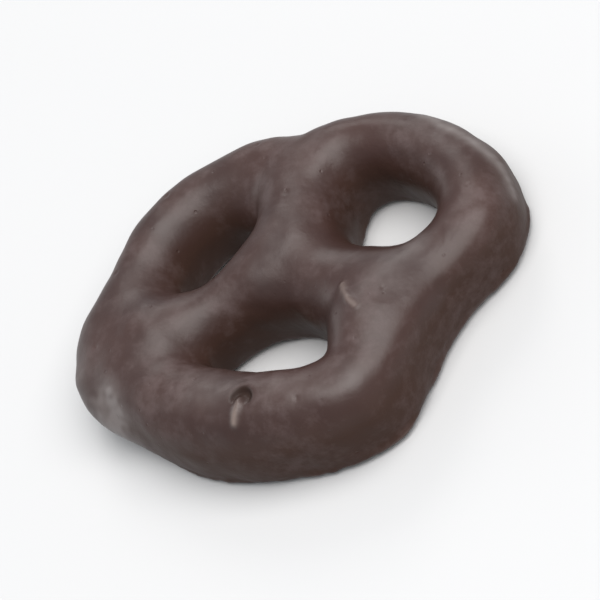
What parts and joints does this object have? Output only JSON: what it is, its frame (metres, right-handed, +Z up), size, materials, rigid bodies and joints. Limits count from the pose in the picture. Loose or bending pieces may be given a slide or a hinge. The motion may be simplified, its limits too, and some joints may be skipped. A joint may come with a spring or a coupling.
{
  "type": "chocolate covered pretzel",
  "caption": "Bite-size twisted pretzel under a thick dark chocolate coat, with open holes between its strands and a flat base to lie on.",
  "frame": {"origin": "middle of the flat base, at the height of the surface it lies on", "axes": "+X across the two lobes, +Y from the thick bottom arc to the cleft between the lobes, +Z up through the pretzel's thickness"},
  "size_m": [0.0452, 0.0368, 0.0101],
  "materials": {
    "dark_chocolate": "satin, slightly bloomed dark chocolate"
  },
  "bodies": {
    "root": {"chocolate_pretzel": "dark_chocolate"}
  },
  "joints": []
}
